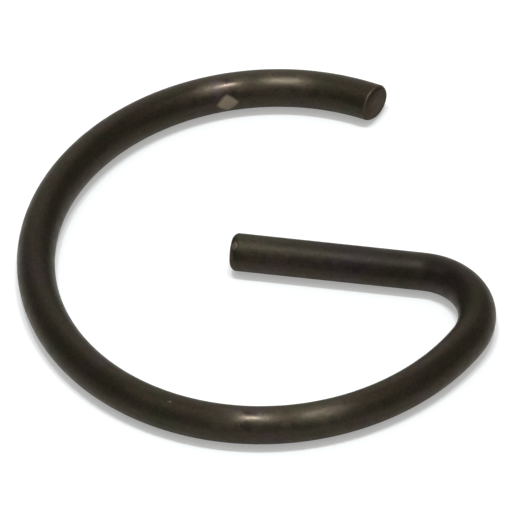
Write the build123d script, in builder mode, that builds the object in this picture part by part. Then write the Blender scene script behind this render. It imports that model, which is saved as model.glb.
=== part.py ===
# Piston pin circlip of the G type: one piece of round spring wire.
#
# The open ring springs into the half-round groove near the end of a piston's pin bore and
# keeps the pin from walking out. One end of the wire turns inwards on a small radius and
# runs straight along a diameter of the ring. It is the tang that the fitter grips, to
# squeeze the ring into the bore and to pull it out again. The other end stops short of the
# bend, and leaves the gap that lets the ring close.
#
# The origin is the ring's centre, at half the height of the wire. +Z is the axis of the
# piston pin, and the tang lies along X, with its free end towards -X.

import os
from math import atan2, degrees, sqrt

from build123d import *

# Driving dimensions, in millimetres and degrees
wire_diameter = 1.0
pin_bore = 12.0  # bore of the piston that the clip is made for
free_oversize = 1.2  # how much wider than the bore the ring is while it is relaxed
ring_end_angle = 72.6  # where the ring's free end is, anticlockwise from +X
ring_end_lean = 10.0  # of the free end's crop from square, its outer side being the longer
bend_inner_radius = 1.16  # inside of the bend between the ring and the tang
tang_offset = 0.0  # of the tang's centreline from the ring's diameter, towards the gap
tang_past_centre = 1.0  # how far the tang's tip reaches beyond the ring's centre
end_break = 0.15  # bevel round each cropped end of the wire

# Sizes that follow from those, to the centreline of the wire
wire_radius = wire_diameter / 2
ring_radius = (pin_bore + free_oversize) / 2 - wire_radius
bend_radius = bend_inner_radius + wire_radius

# The bend touches the ring's circle from inside and the tang's line from below
bend_centre_y = tang_offset - bend_radius
bend_centre_x = sqrt((ring_radius - bend_radius) ** 2 - bend_centre_y**2)
bend_start_angle = degrees(atan2(bend_centre_y, bend_centre_x))
bend_sweep = 90 - bend_start_angle

# The ring is swept a little past its free end, and then cropped there
crop_length = wire_diameter
sweep_start_angle = ring_end_angle - degrees(crop_length / ring_radius)
ring_sweep = 360 + bend_start_angle - sweep_start_angle

# Centreline of the wire, from beyond the ring's free end round to the tip of the tang
with BuildLine() as centreline:
    ring = CenterArc((0, 0), ring_radius, sweep_start_angle, ring_sweep)
    bend = CenterArc((bend_centre_x, bend_centre_y), bend_radius, bend_start_angle, bend_sweep)
    tang = Line(bend @ 1, (-tang_past_centre, tang_offset))

# The plane of the crop, which faces out of the ring's free end and leans inwards
crop_point = Vector(ring_radius, 0).rotate(Axis.Z, ring_end_angle)
crop_direction = Vector(0, -1).rotate(Axis.Z, ring_end_angle - ring_end_lean)
crop_plane = Plane(origin=crop_point, z_dir=crop_direction)

# The wire, with its cropped ends and the broken edges round them
with BuildPart() as circlip:
    with BuildSketch(Plane(origin=ring @ 0, z_dir=ring % 0)) as wire_section:
        Circle(wire_radius)
    sweep(path=centreline.line)
    with BuildSketch(crop_plane) as crop_outline:
        Circle(wire_diameter)
    extrude(amount=2 * crop_length, mode=Mode.SUBTRACT)
    cropped_faces = circlip.faces().filter_by(GeomType.PLANE)
    chamfer(cropped_faces.edges(), end_break)

circlip.part.label = "circlip"

os.makedirs("parts", exist_ok=True)
export_step(circlip.part, "parts/circlip.step")
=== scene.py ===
from math import atan2, cos, hypot, pi, radians, sin, sqrt, tan

import bpy
from mathutils import Matrix, Vector


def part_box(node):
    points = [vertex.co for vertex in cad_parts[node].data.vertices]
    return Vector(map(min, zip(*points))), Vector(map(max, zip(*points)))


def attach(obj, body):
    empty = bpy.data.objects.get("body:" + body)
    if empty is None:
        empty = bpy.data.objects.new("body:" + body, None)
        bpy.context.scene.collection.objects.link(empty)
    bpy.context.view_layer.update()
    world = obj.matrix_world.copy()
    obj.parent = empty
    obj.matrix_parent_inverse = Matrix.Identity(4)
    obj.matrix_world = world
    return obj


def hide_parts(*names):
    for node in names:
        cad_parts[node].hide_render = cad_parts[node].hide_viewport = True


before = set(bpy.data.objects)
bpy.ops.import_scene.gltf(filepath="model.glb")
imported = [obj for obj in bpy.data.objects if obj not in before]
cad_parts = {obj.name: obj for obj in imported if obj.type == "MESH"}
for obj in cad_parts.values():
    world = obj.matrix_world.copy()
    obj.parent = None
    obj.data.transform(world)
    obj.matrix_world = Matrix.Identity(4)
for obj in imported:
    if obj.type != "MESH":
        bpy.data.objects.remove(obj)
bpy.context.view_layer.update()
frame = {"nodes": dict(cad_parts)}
print("frame loaded:", ", ".join(frame["nodes"]))

mm = 0.001
tolerance = 0.001 * mm  # vertices this near each other are merged, and this near a plane are on it

# A piston pin circlip that lies on white paper. Everything is in metres, in the part's own frame:
# the ring's centre is the origin, and the tang runs along X with its tip towards -X.


# Helpers

def linear(hexColour):
    # sRGB hex to the linear colour that the shaders want
    channels = [int(hexColour[i:i + 2], 16) / 255 for i in (1, 3, 5)]
    return [c / 12.92 if c <= 0.04045 else ((c + 0.055) / 1.055) ** 2.4 for c in channels] + [1]


def addNode(tree, kind, settings=None, inputs=None):
    # one node with its settings; an input is either a value or the output that feeds it
    node = tree.nodes.new(kind)
    for name, value in (settings or {}).items():
        setattr(node, name, value)
    for name, value in (inputs or {}).items():
        if isinstance(value, bpy.types.NodeSocket):
            tree.links.new(value, node.inputs[name])
        else:
            node.inputs[name].default_value = value
    return node


def newMaterial(name):
    material = bpy.data.materials.new(name)
    material.use_nodes = True
    material.node_tree.nodes.clear()
    return material, material.node_tree


def pick(piece, kind, wanted):
    # in edit mode, leaves only the wanted vertices or edges selected
    bpy.ops.mesh.select_mode(type=kind)
    bpy.ops.mesh.select_all(action="DESELECT")
    bpy.ops.object.mode_set(mode="OBJECT")
    points = piece.data.vertices
    if kind == "VERT":
        for vertex in points:
            vertex.select = wanted(vertex.co)
    else:
        for edge in piece.data.edges:
            edge.select = wanted([points[i].co for i in edge.vertices])
    bpy.ops.object.mode_set(mode="EDIT")


# The clip: a coarse cage of the bent wire, rounded by subdivision, then its two cropped ends

def spotAt(along, around, halfWidth, toOuter, toInner, **more):
    # a spot on the wire's surface. Its middle is so many mm along the wire from the ring's free end, and
    # so many degrees round it from the ring's outer side over the top. Its outline is so many mm from
    # there: halfWidth both ways along the wire, and round it towards the outer and the inner side
    return {"along": along * mm, "around": radians(around), "halfWidth": halfWidth * mm,
            "toOuter": toOuter * mm, "toInner": toInner * mm, **more}


lowest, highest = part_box("circlip")
sizeInside = 0.998  # of the CAD's wire, so that no rounding stands out of the CAD box

circlip = {
    "wireRadius": (highest.z - lowest.z) / 2 * sizeInside,
    "ringRadius": (highest.y - lowest.y - highest.z + lowest.z) / 2,  # to the middle of the wire
    "ringEndAngle": radians(72.6),  # free end of the ring, anticlockwise from +X
    "ringEndLean": radians(10),  # its crop leans in, so that the outer side is longer
    "bendRadius": 1.66 * mm,  # to the middle of the wire
    "tangPastCentre": 1.0 * mm,
    "endBreak": 0.15 * mm,  # bevel round each cropped end
    "breakCorners": 1.6,  # 1 gives that bevel two sharp edges, and 2 makes it a full round
    "breakRings": 6,  # that the bevel is made of
    "faceRing": 0.95,  # size of a ring of edges in the cropped face, which keeps its shading flat
    "sharpAbove": radians(35),  # edges that turn by more than this aren't smoothed
    "cageSides": 20,  # round the wire
    "cageRow": 0.16 * mm,  # along the wire
    "lastRow": 0.2 * mm,  # straight row that turns the section to the lean of the crop
    "rounds": 2,  # of subdivision
    # where the wire is rubbed, and a painted glint on the tang tip's bevel in the colour of bare steel;
    # coatLeft is 0 where that colour is full, and about 1 where it hardly shows
    "marks": (
        spotAt(along=4.17, around=171, halfWidth=0.3, toOuter=0.25, toInner=0.25, coatLeft=0),
        spotAt(along=19.53, around=80, halfWidth=0.075, toOuter=0.055, toInner=0.055, coatLeft=1.05),
        # a painted glint on the bevel of the tang's tip, not wear
        spotAt(along=36.5, around=113, halfWidth=0.09, toOuter=0.12, toInner=0.14, coatLeft=0),
    ),
    "markDepth": 0.01 * mm,  # how far each of these spots, the painted glint too, is flattened into the wire
    # where handling has burnished the coat, and how much; below 0 it is duller
    "burnished": (
        spotAt(along=2.3, around=112, halfWidth=1.0, toOuter=0.4, toInner=0.4, much=0.2),
        spotAt(along=3.4, around=112, halfWidth=0.4, toOuter=0.4, toInner=0.4, much=-0.3),
        spotAt(along=4.1, around=112, halfWidth=0.5, toOuter=0.4, toInner=0.4, much=1.2),
        spotAt(along=20.9, around=70, halfWidth=0.8, toOuter=0.6, toInner=0.6, much=-1.8),
        spotAt(along=21.6, around=70, halfWidth=0.4, toOuter=0.4, toInner=0.4, much=1.3),
        spotAt(along=23.5, around=70, halfWidth=1.6, toOuter=0.6, toInner=0.6, much=-0.5),
    ),
    # painted shade: the coat is darkened on the tang where its highlight falls, standing in for the tang's
    # slight tilt away from the lamps, and a little round the ring at -X
    "paintedShade": (
        spotAt(along=32.3, around=105, halfWidth=4.4, toOuter=0.9, toInner=0.9, much=1),
        spotAt(along=12.5, around=150, halfWidth=7.5, toOuter=4, toInner=4, much=0.24),
    ),
    "spotCorners": 1.25,  # 1 gives these spots straight sides, and 2 makes them round
}


def bendPlace(c):
    # the bend touches the ring's circle from inside and the tang's line from below
    r = c["bendRadius"]
    centre = Vector((sqrt((c["ringRadius"] - r) ** 2 - r ** 2), -r, 0))
    return centre, atan2(centre.y, centre.x)


def pickSection(piece, place, normal, c):
    # the loop of vertices round the wire on a plane that cuts it at that place
    near = 2 * c["wireRadius"]
    pick(piece, "VERT", lambda co: abs((co - place).dot(normal)) < tolerance
         and (co - place).length < near)


def buildClip(c):
    bendCentre, bendStart = bendPlace(c)
    ringRadius, rowLength = c["ringRadius"], c["cageRow"]
    cageRadius = c["wireRadius"] * 3 / (2 + cos(2 * pi / c["cageSides"]))  # subdivision draws it in

    # one section, just inside the ring's free end
    start = c["ringEndAngle"] + (c["endBreak"] + c["lastRow"]) / ringRadius
    sectionPlace = Vector((cos(start), sin(start), 0)) * ringRadius
    bpy.ops.object.select_all(action="DESELECT")
    bpy.ops.mesh.primitive_circle_add(
        vertices=c["cageSides"], radius=cageRadius, fill_type="NOTHING",
        location=sectionPlace, rotation=(pi / 2, 0, start))
    piece = bpy.context.object
    piece.name = "spring_wire_circlip"
    bpy.ops.object.transform_apply(location=True, rotation=True, scale=True)

    # spun round the ring and then round the bend
    bpy.ops.object.mode_set(mode="EDIT")
    bpy.ops.mesh.select_all(action="SELECT")
    ringSweep = 2 * pi + bendStart - start
    bendSweep = pi / 2 - bendStart
    bpy.ops.mesh.spin(steps=round(ringSweep * ringRadius / rowLength),
                      angle=-ringSweep, center=(0, 0, 0), axis=(0, 0, 1))
    bpy.ops.mesh.spin(steps=round(bendSweep * c["bendRadius"] / rowLength),
                      angle=-bendSweep, center=bendCentre, axis=(0, 0, 1))

    # the tang, as far as its bevel, and then the rows along it
    tangLength = bendCentre.x + c["tangPastCentre"] - c["endBreak"]
    bpy.ops.mesh.extrude_region_move(TRANSFORM_OT_translate={"value": (-tangLength, 0, 0)})
    pick(piece, "EDGE", lambda ends: abs(ends[0].x - ends[1].x) > tangLength / 2)
    bpy.ops.mesh.subdivide(number_cuts=round(tangLength / rowLength) - 1)

    # the last row of the ring, which turns to the lean of the crop and is longer on its outer side
    alongWire = Vector((sin(start), -cos(start), 0))
    pickSection(piece, sectionPlace, alongWire, c)
    bpy.ops.mesh.extrude_region_move(TRANSFORM_OT_translate={"value": alongWire * c["lastRow"]})
    cropPlace = sectionPlace + alongWire * c["lastRow"]
    toWorld = Matrix.Rotation(start, 3, "Z")
    bpy.ops.transform.resize(value=(1 / cos(c["ringEndLean"]), 1, 1), orient_type="GLOBAL",
                             orient_matrix=toWorld, orient_matrix_type="GLOBAL",
                             center_override=cropPlace)
    bpy.ops.transform.rotate(value=c["ringEndLean"], orient_axis="Z", center_override=cropPlace)

    bpy.ops.object.mode_set(mode="OBJECT")
    rounding = piece.modifiers.new("rounding", "SUBSURF")
    rounding.levels = rounding.render_levels = c["rounds"]
    bpy.ops.object.modifier_apply(modifier=rounding.name)
    bpy.ops.object.mode_set(mode="EDIT")

    cropNormal = Matrix.Rotation(-c["ringEndLean"], 3, "Z") @ alongWire
    finishEnd(piece, cropPlace, cropNormal, alongWire, c)
    tangTip = Vector((c["endBreak"] - c["tangPastCentre"], 0, 0))
    finishEnd(piece, tangTip, Vector((-1, 0, 0)), Vector((-1, 0, 0)), c)

    bpy.ops.mesh.select_all(action="SELECT")
    bpy.ops.mesh.remove_doubles(threshold=tolerance)
    bpy.ops.mesh.normals_make_consistent(inside=False)
    bpy.ops.object.mode_set(mode="OBJECT")
    bpy.ops.object.shade_smooth_by_angle(angle=c["sharpAbove"])
    return piece


def finishEnd(piece, place, normal, alongWire, c):
    # from the open loop at that place: the bevel, ring by ring, and the cropped face that closes the wire
    pickSection(piece, place, normal, c)
    depth, radius = 0, c["wireRadius"]
    for ring in range(1, c["breakRings"] + 1):
        turn = pi / 2 * ring / c["breakRings"]
        nextDepth = c["endBreak"] * sin(turn) ** (2 / c["breakCorners"])
        nextRadius = c["wireRadius"] - c["endBreak"] * (1 - abs(cos(turn)) ** (2 / c["breakCorners"]))
        bpy.ops.mesh.extrude_region_move(TRANSFORM_OT_translate={"value": alongWire * (nextDepth - depth)})
        bpy.ops.transform.resize(value=[nextRadius / radius] * 3)
        depth, radius = nextDepth, nextRadius
    bpy.ops.mesh.extrude_region_move()
    bpy.ops.transform.resize(value=[c["faceRing"]] * 3)
    bpy.ops.mesh.edge_face_add()


def measureWire(piece, c):
    # attributes for the finish, one value for each vertex:
    # straightened, its place along the wire, and outwards and upwards from the wire's middle
    # aroundWire, the direction in which highlights spread: round the wire, and up a cropped face
    # fromEnd, the distance to the plane of the nearer cropped face
    # offMark, 0 in the middle of a bare mark and of the painted glint, and 1 on their outlines
    # burnished, how much the coat is so, and paintedShade, how much shade is painted on the coat
    bendCentre, bendStart = bendPlace(c)
    ringLength = (2 * pi + bendStart - c["ringEndAngle"]) * c["ringRadius"]
    tangStart = ringLength + (pi / 2 - bendStart) * c["bendRadius"]
    wireEnd = tangStart + bendCentre.x + c["tangPastCentre"]
    slack = 1.01  # so that the outermost vertices count as inside
    reach = slack * c["wireRadius"]
    beforeEnd = 0.5  # radians short of the ring's free end that are counted back from it, below 0
    onCrop = 0.2 * c["endBreak"]  # what is this near the plane of a cropped face belongs to it
    kinds = {"straightened": "FLOAT_VECTOR", "aroundWire": "FLOAT_VECTOR",
             "fromEnd": "FLOAT", "offMark": "FLOAT", "burnished": "FLOAT", "paintedShade": "FLOAT"}
    for name, kind in kinds.items():
        piece.data.attributes.new(name, kind, "POINT")
    # all are made first, because each new one moves the others in memory
    values = [piece.data.attributes[name].data for name in kinds]
    straightened, aroundWire, fromEnd, offMark, burnished, paintedShade = values
    for i, vertex in enumerate(piece.data.vertices):
        x, y, z = vertex.co
        bendX, bendY = x - bendCentre.x, y - bendCentre.y
        turn = atan2(bendY, bendX)
        if -slack * c["tangPastCentre"] < x < bendCentre.x and abs(y) < reach:
            along, outwards, turn = tangStart - bendX, y, pi / 2
        elif bendStart < turn < pi / 2 and hypot(bendX, bendY) < c["bendRadius"] + reach:
            along = ringLength + (turn - bendStart) * c["bendRadius"]
            outwards = hypot(bendX, bendY) - c["bendRadius"]
        else:
            turn = atan2(y, x)
            along = ((turn - c["ringEndAngle"] + beforeEnd) % (2 * pi) - beforeEnd) * c["ringRadius"]
            outwards = hypot(x, y) - c["ringRadius"]
        inwards = Vector((-cos(turn) * outwards, -sin(turn) * outwards, -z)) / c["wireRadius"]
        straightened[i].vector = (along, outwards, z)
        aroundWire[i].vector = Vector((-z * cos(turn), -z * sin(turn), outwards)).normalized()
        fromEnd[i].value = min(along + outwards * tan(c["ringEndLean"]), wireEnd - along)
        if fromEnd[i].value < onCrop:
            aroundWire[i].vector = (0, 0, 1)
        angle = atan2(z, outwards)
        offMark[i].value = min(
            max(mark["coatLeft"], spotReach(along, angle, mark, c)) for mark in c["marks"])
        burnished[i].value = howMuch(c["burnished"], along, angle, c)
        paintedShade[i].value = howMuch(c["paintedShade"], along, angle, c)
        vertex.co += inwards * c["markDepth"] * max(0, 1 - offMark[i].value)


def howMuch(spots, along, angle, c):
    # what the spots come to at a point of the surface; each fades from its middle to its outline
    return sum(spot["much"] * max(0, 1 - spotReach(along, angle, spot, c)) for spot in spots)


def spotReach(along, angle, spot, c):
    # how far a point of the surface is from the spot's middle, as a share of the way to its outline
    turn = (angle - spot["around"] + pi) % (2 * pi) - pi
    lengthwise = abs(along - spot["along"]) / spot["halfWidth"]
    crosswise = abs(turn) * c["wireRadius"] / spot["toInner" if turn > 0 else "toOuter"]
    power = c["spotCorners"]
    farOff = 9  # far enough to leave no trace of the spot
    return min(farOff, (lengthwise ** power + crosswise ** power) ** (1 / power))


clip = buildClip(circlip)
measureWire(clip, circlip)
print("clip built:", len(clip.data.polygons), "faces")
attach(clip, "root")
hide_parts("circlip")


# Its finish: manganese phosphate and oil over drawn spring wire

finish = {
    # the coat is mottled from olive through brown to plum
    "olive": "#2f2e1f",
    "brown": "#352d22",
    "plum": "#362c2a",
    "cloudWidth": 1.5 * mm,  # of the patches in which the coat took unevenly
    "toBrown": (0.36, 0.5),  # levels of the clouds at which olive starts to turn brown, and is brown
    "toPlum": (0.52, 0.66),  # and the same from brown to plum
    "paintedShadeTone": "#8c8c8c",  # painted shade: multiplies the coat's colour where shade is painted
    "tintWidth": 0.3 * mm,  # patches where the oil has dried to another tint
    "tintStrength": 0.15,
    "grainWidth": 0.08 * mm,  # phosphate crystals, drawn some eight times as coarse as real ones to show
    "grainStrength": 0.5,
    "drawLineWidth": 0.07 * mm,  # left by the drawing die, and drawn about three times as wide
    "drawLineSlimness": 0.03,  # their width over their length
    "drawLineStrength": 0.2,
    "cropBrown": "#4a3f34",  # of the two cropped ends, which took less of the coat
    "cropFade": (1.05, 0.65),  # shares of the bevel's depth at which that brown starts, and is full
    # the colour of bare steel, and also of the painted glint at the tang's tip
    "bareSteelAndGlint": "#7e7261",
    "bareAndGlintFade": (1.35, 0.85),  # shares of the way to a mark's outline at which it starts, and is full
    "raggedness": 0.25,  # of that outline, which takes it a little inwards
    "roughness": (0.24, 0.31),  # of the coat, and it follows the patches of tint
    "roughnessRise": (0.3, 0.7),  # levels of those at which it starts to rise, and is highest
    "burnishedAdds": -0.12,  # to that roughness
    "croppedAdds": 0.2,
    "bareAndGlintAdds": 0.1,
    "reliefDepth": 0.01 * mm,
    "reliefStrength": 0.08,
    "grainRelief": 0.3,  # against 1 for the draw lines
    "edgeTint": "#eeebe4",  # the coat's crystals shade one another, so its rims stay dark
}


def makeSteel(f, c):
    # a dark metal in a satin sheen, which clouds, crystals and draw lines break up
    material, tree = newMaterial("phosphatedSpringSteel")
    place = addNode(tree, "ShaderNodeTexCoord").outputs["Object"]
    sockets = {"straightened": "Vector", "aroundWire": "Vector",
               "fromEnd": "Fac", "offMark": "Fac", "burnished": "Fac", "paintedShade": "Fac"}
    straightened, aroundWire, fromEnd, offMark, burnished, paintedShade = (
        addNode(tree, "ShaderNodeAttribute", {"attribute_name": name}).outputs[socket]
        for name, socket in sockets.items())
    soft = {"interpolation_type": "SMOOTHSTEP"}
    addTo = {"operation": "MULTIPLY_ADD"}
    # a colour mix takes its share at input 0 and its two colours at 6 and 7, and its output is 2
    mix = {"data_type": "RGBA"}
    multiply = {"data_type": "RGBA", "blend_type": "MULTIPLY"}
    overlay = {"data_type": "RGBA", "blend_type": "OVERLAY"}

    # clouds of three colours, and the painted shade
    clouds = addNode(tree, "ShaderNodeTexNoise", None, {
        "Vector": place, "Scale": 1 / f["cloudWidth"], "Detail": 3.0, "Roughness": 0.6})
    toBrown = addNode(tree, "ShaderNodeMapRange", soft, {
        0: clouds.outputs["Fac"], 1: f["toBrown"][0], 2: f["toBrown"][1]})
    toPlum = addNode(tree, "ShaderNodeMapRange", soft, {
        0: clouds.outputs["Fac"], 1: f["toPlum"][0], 2: f["toPlum"][1]})
    coat = addNode(tree, "ShaderNodeMix", mix, {
        0: toBrown.outputs[0], 6: linear(f["olive"]), 7: linear(f["brown"])})
    coat = addNode(tree, "ShaderNodeMix", mix, {
        0: toPlum.outputs[0], 6: coat.outputs[2], 7: linear(f["plum"])})
    # painted shade: a darker coat on the tang where its highlight falls, and a little round the ring at -X
    coat = addNode(tree, "ShaderNodeMix", multiply, {
        0: paintedShade, 6: coat.outputs[2], 7: linear(f["paintedShadeTone"])})

    # patches of tint, crystals and draw lines
    tints = addNode(tree, "ShaderNodeTexNoise", None, {
        "Vector": place, "Scale": 1 / f["tintWidth"], "Detail": 2.0})
    grain = addNode(tree, "ShaderNodeTexNoise", None, {
        "Vector": place, "Scale": 1 / f["grainWidth"], "Detail": 2.0, "Roughness": 0.6})
    drawn = addNode(tree, "ShaderNodeMapping", None, {
        "Vector": straightened, "Scale": (f["drawLineSlimness"], 1, 1)})
    drawLines = addNode(tree, "ShaderNodeTexNoise", None, {
        "Vector": drawn.outputs[0], "Scale": 1 / f["drawLineWidth"], "Detail": 2.0})
    for pattern, strength in ((tints.outputs["Color"], f["tintStrength"]),
                              (grain.outputs["Fac"], f["grainStrength"]),
                              (drawLines.outputs["Fac"], f["drawLineStrength"])):
        coat = addNode(tree, "ShaderNodeMix", overlay, {0: strength, 6: coat.outputs[2], 7: pattern})

    # cropped ends
    cropped = addNode(tree, "ShaderNodeMapRange", soft, {
        0: fromEnd, 1: f["cropFade"][0] * c["endBreak"], 2: f["cropFade"][1] * c["endBreak"]})
    coat = addNode(tree, "ShaderNodeMix", mix, {
        0: cropped.outputs[0], 6: coat.outputs[2], 7: linear(f["cropBrown"])})

    # marks where the steel shows, and the painted glint at the tang's tip in the same colour, with a
    # slightly ragged outline
    ragged = addNode(tree, "ShaderNodeMath", addTo, {
        0: grain.outputs["Fac"], 1: f["raggedness"], 2: offMark})
    bareAndGlint = addNode(tree, "ShaderNodeMapRange", soft, {
        0: ragged.outputs[0], 1: f["bareAndGlintFade"][0], 2: f["bareAndGlintFade"][1]})
    colour = addNode(tree, "ShaderNodeMix", mix, {
        0: bareAndGlint.outputs[0], 6: coat.outputs[2], 7: linear(f["bareSteelAndGlint"])})

    # the sheen is uneven, sharper where it is burnished, and duller on cropped ends, bare steel and the
    # painted glint
    sheen = addNode(tree, "ShaderNodeMapRange", soft, {
        0: tints.outputs["Fac"], 1: f["roughnessRise"][0], 2: f["roughnessRise"][1],
        3: f["roughness"][0], 4: f["roughness"][1]})
    for where, added in ((burnished, f["burnishedAdds"]),
                         (cropped.outputs[0], f["croppedAdds"]),
                         (bareAndGlint.outputs[0], f["bareAndGlintAdds"])):
        sheen = addNode(tree, "ShaderNodeMath", addTo, {0: where, 1: added, 2: sheen.outputs[0]})

    relief = addNode(tree, "ShaderNodeMath", addTo, {
        0: grain.outputs["Fac"], 1: f["grainRelief"], 2: drawLines.outputs["Fac"]})
    bump = addNode(tree, "ShaderNodeBump", None, {
        "Strength": f["reliefStrength"], "Distance": f["reliefDepth"], "Height": relief.outputs[0]})
    # the draw lines spread a highlight round the wire, and keep it short along it
    shader = addNode(tree, "ShaderNodeBsdfPrincipled", None, {
        "Base Color": colour.outputs[2], "Metallic": 0.75, "Roughness": sheen.outputs[0],
        "Specular Tint": linear(f["edgeTint"]), "Normal": bump.outputs[0],
        "Anisotropic": 1.0, "Tangent": aroundWire})
    addNode(tree, "ShaderNodeOutputMaterial", None, {"Surface": shader.outputs[0]})
    return material


clip.data.materials.append(makeSteel(finish, circlip))
print("finish made")


# Floor, world, lamps and camera

stage = {
    "floorSize": 6.0,
    "paper": "#e8e8e6",
    "lift": 0.32,  # white that the camera and reflections see on top of the lit paper
    "roomLevel": 0.28,
    "brightSide": (-0.22, 0.86, 0.46),  # direction of the room's bright wall
    "brightLevel": 0.9,  # added there
    "brightEdge": 0.78,  # how far off that direction it has faded out, as a cosine
    "lampDistance": 1.2,  # of each lamp from the clip
    # a lamp's place is in degrees from straight overhead, along X and Y
    "lamps": {
        "leftStrip": {"place": (-4.4, 0.0), "size": (0.09, 0.14), "watts": 3.8, "colour": "#f3fbff"},
        "rightStrip": {"place": (7.0, 1.0), "size": (0.09, 0.14), "watts": 3.6, "colour": "#f3fbff"},
        "softBank": {"place": (-1.0, -4.0), "size": (1.2, 0.9), "watts": 3.2, "colour": "#fffdfa"},
    },
}


def seenDirectly(tree):
    # 1 for rays that show the background: the camera's, and what metal or glass reflects or lets through
    light = addNode(tree, "ShaderNodeLightPath")
    both = addNode(tree, "ShaderNodeMath", {"operation": "MAXIMUM"}, {
        0: light.outputs["Is Camera Ray"], 1: light.outputs["Is Glossy Ray"]})
    return addNode(tree, "ShaderNodeMath", {"operation": "MAXIMUM"}, {
        0: both.outputs[0], 1: light.outputs["Is Transmission Ray"]}).outputs[0]


def makeFloor(s):
    bpy.ops.object.select_all(action="DESELECT")
    bpy.ops.mesh.primitive_plane_add(size=s["floorSize"], location=(0, 0, lowest.z))
    floor = bpy.context.object
    floor.name = "paper_floor"
    # matt paper: an even white with no sheen, that shows only the clip's own soft shadow
    material, tree = newMaterial("whitePaper")
    paper = addNode(tree, "ShaderNodeBsdfDiffuse", None, {"Color": linear(s["paper"])})
    lift = addNode(tree, "ShaderNodeEmission", None, {"Color": (1, 1, 1, 1), "Strength": s["lift"]})
    both = addNode(tree, "ShaderNodeAddShader", None, {0: paper.outputs[0], 1: lift.outputs[0]})
    choice = addNode(tree, "ShaderNodeMixShader", None, {
        0: seenDirectly(tree), 1: paper.outputs[0], 2: both.outputs[0]})
    addNode(tree, "ShaderNodeOutputMaterial", None, {"Surface": choice.outputs[0]})
    floor.data.materials.append(material)


def makeWorld(s):
    # an evenly grey room, except that one wall is bright
    world = bpy.data.worlds.new("studio")
    world.use_nodes = True
    bpy.context.scene.world = world
    tree = world.node_tree
    tree.nodes.clear()
    direction = addNode(tree, "ShaderNodeTexCoord").outputs["Generated"]
    towards = addNode(tree, "ShaderNodeVectorMath", {"operation": "DOT_PRODUCT"}, {
        0: direction, 1: s["brightSide"]})
    level = addNode(tree, "ShaderNodeMapRange", {"interpolation_type": "SMOOTHSTEP"}, {
        0: towards.outputs["Value"], 1: s["brightEdge"], 2: 1.0,
        3: s["roomLevel"], 4: s["roomLevel"] + s["brightLevel"]})
    room = addNode(tree, "ShaderNodeBackground", None, {
        "Color": (1, 1, 1, 1), "Strength": level.outputs[0]})
    addNode(tree, "ShaderNodeOutputWorld", None, {"Surface": room.outputs[0]})


def makeLamps(s):
    # soft lamps that all face the clip
    for name, settings in s["lamps"].items():
        overX, overY = (radians(angle) for angle in settings["place"])
        data = bpy.data.lights.new(name, "AREA")
        data.shape = "RECTANGLE"
        data.size, data.size_y = settings["size"]
        data.energy = settings["watts"]
        data.color = linear(settings["colour"])[:3]
        lamp = bpy.data.objects.new(name, data)
        bpy.context.scene.collection.objects.link(lamp)
        lamp.location = Vector((tan(overX), tan(overY), 1)).normalized() * s["lampDistance"]
        lamp.rotation_euler = lamp.location.to_track_quat("Z", "Y").to_euler()


makeFloor(stage)
makeWorld(stage)
makeLamps(stage)

camera = {
    "azimuth": radians(13.0),  # 0 looks along +Y
    "elevation": radians(46.05),
    "roll": radians(3.4),  # the clip stands turned this much to the left in the picture
    "distance": 610 * mm,
    "nearest": 0.01,  # only what is between these two distances is drawn
    "farthest": 10,
    "pixelSize": 0.026076 * mm,  # of the 515 pixel picture, at the ring's centre
    "pictureSize": 515,
    "ringCentre": (269.5, 255.4),  # where it stands in the picture, in pixels from the top left
}


def makeCamera(c):
    a, e, r = c["azimuth"], c["elevation"], c["roll"]
    back = Vector((sin(a) * cos(e), -cos(a) * cos(e), sin(e)))
    level = Vector((cos(a), sin(a), 0))
    upright = back.cross(level)
    right = level * cos(r) - upright * sin(r)
    up = upright * cos(r) + level * sin(r)
    offX = (c["ringCentre"][0] - c["pictureSize"] / 2) * c["pixelSize"]
    offY = (c["pictureSize"] / 2 - c["ringCentre"][1]) * c["pixelSize"]
    aim = -right * offX - up * offY
    data = bpy.data.cameras.new("camera")
    data.lens = data.sensor_width * c["distance"] / (c["pixelSize"] * c["pictureSize"])
    data.clip_start, data.clip_end = c["nearest"], c["farthest"]
    cam = bpy.data.objects.new("camera", data)
    bpy.context.scene.collection.objects.link(cam)
    turn = Matrix((right, up, back)).transposed().to_4x4()
    cam.matrix_world = Matrix.Translation(aim + back * c["distance"]) @ turn
    bpy.context.scene.camera = cam


makeCamera(camera)
bpy.context.scene.view_settings.view_transform = "Standard"
print("floor, world, lamps and camera made")
